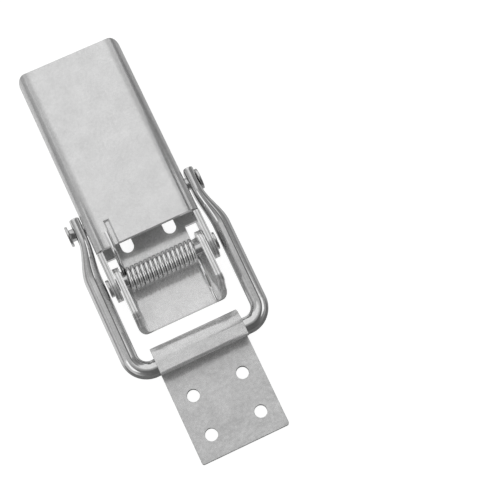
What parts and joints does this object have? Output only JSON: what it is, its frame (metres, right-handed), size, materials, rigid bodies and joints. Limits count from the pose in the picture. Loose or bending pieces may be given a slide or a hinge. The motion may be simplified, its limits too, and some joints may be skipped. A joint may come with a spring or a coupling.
{
  "type": "trailer door latch",
  "caption": "Spring-loaded toggle latch: folded lever on a screw-down base pulls a bent rod bail against a hooked keeper plate.",
  "frame": {"origin": "middle of the base's four slotted screw holes, on the surface that the latch is screwed to", "axes": "+Z away from that surface, +Y along the latch from the keeper towards the lever's free end, X across it"},
  "size_m": [0.0672, 0.1839, 0.021],
  "materials": {
    "sheet": "satin zinc plate, faintly mottled",
    "rod": "smooth zinc plate",
    "rivet": "smooth zinc plate",
    "spring_wire": "plated drawn wire"
  },
  "bodies": {
    "base": {"base_plate": "sheet", "axle_pin": "rivet", "torsion_spring": "spring_wire"},
    "lever": {"lever_handle": "sheet", "bail_pin_left": "rivet", "bail_pin_right": "rivet"},
    "bail": {"bail_loop": "rod", "keeper_plate": "sheet"}
  },
  "joints": [
    {"name": "lever_hinge", "type": "hinge", "parent": "base", "child": "lever", "pos_m": [0, -0.025, 0.012], "axis": [1, 0, 0], "range_deg": [0, 120], "stiffness_Nm_per_rad": 0.3, "springref_deg": -40.11, "deforming": ["torsion_spring"]},
    {"name": "bail_hinge", "type": "hinge", "parent": "lever", "child": "bail", "pos_m": [0, 0.0031, 0.0115], "axis": [-1, 0, 0], "range_deg": [0, 150]}
  ]
}
